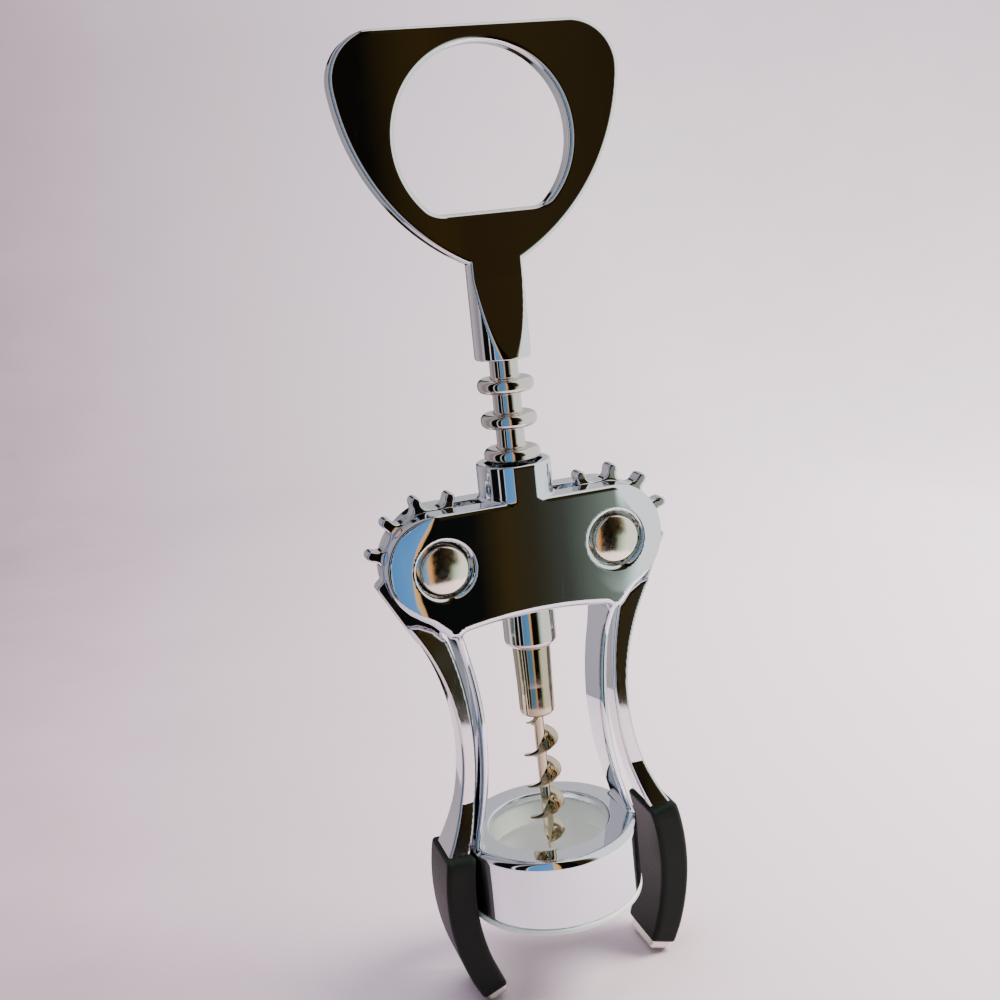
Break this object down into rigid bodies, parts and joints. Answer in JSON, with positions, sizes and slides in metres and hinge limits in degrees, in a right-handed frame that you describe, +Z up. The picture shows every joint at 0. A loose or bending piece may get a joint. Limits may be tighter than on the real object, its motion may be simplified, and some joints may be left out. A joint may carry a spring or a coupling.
{
  "type": "lever corkscrew",
  "caption": "Lever corkscrew with a cast frame and bell, ringed rack, toothed levers with grips, helical worm and bottle-opener handle.",
  "frame": {"origin": "centre of the bell's mouth, on the worm's axis", "axes": "+Z up the worm's axis to the handle, +X to the right lever, front faces -Y"},
  "size_m": [0.0644, 0.0382, 0.1986],
  "materials": {
    "frame_chrome": "mirror chrome plate on a casting",
    "lever_chrome": "mirror chrome plate, satin at the end",
    "handle_chrome": "mirror chrome plate",
    "rack_chrome": "turned and chrome plated",
    "rivet_nickel": "satin nickel",
    "worm_steel": "plated steel",
    "grip_black": "fine matt moulded",
    "liner_white": "smooth moulded"
  },
  "bodies": {
    "frame": {"frame_casting": "frame_chrome", "bell_liner": "liner_white", "left_pivot_rivet": "rivet_nickel", "right_pivot_rivet": "rivet_nickel", "left_rivet_cap": "rivet_nickel", "right_rivet_cap": "rivet_nickel"},
    "left_lever": {"left_lever": "lever_chrome", "left_grip": "grip_black"},
    "right_lever": {"right_lever": "lever_chrome", "right_grip": "grip_black"},
    "rack": {"rack_sleeve": "rack_chrome"},
    "spindle": {"handle": "handle_chrome", "spindle_rod": "worm_steel", "worm_ferrule": "rack_chrome", "worm": "worm_steel"}
  },
  "joints": [
    {"name": "left_lever_hinge", "type": "hinge", "parent": "frame", "child": "left_lever", "pos_m": [-0.0182, 0, 0.0776], "axis": [0, 1, 0], "range_deg": [0, 125]},
    {"name": "right_lever_hinge", "type": "hinge", "parent": "frame", "child": "right_lever", "pos_m": [0.0182, 0, 0.0776], "axis": [0, -1, 0], "range_deg": [0, 125]},
    {"name": "rack_slide", "type": "slide", "parent": "frame", "child": "rack", "axis": [0, 0, -1], "range_m": [0, 0.0292]},
    {"name": "spindle_turn", "type": "hinge", "parent": "rack", "child": "spindle", "pos_m": [0, 0, 0.09], "axis": [0, 0, 1], "continuous": true}
  ],
  "couplings": [
    {"joint": "right_lever_hinge", "follows": "left_lever_hinge", "ratio": 1},
    {"joint": "rack_slide", "follows": "left_lever_hinge", "m_per_rad": 0.013369}
  ]
}
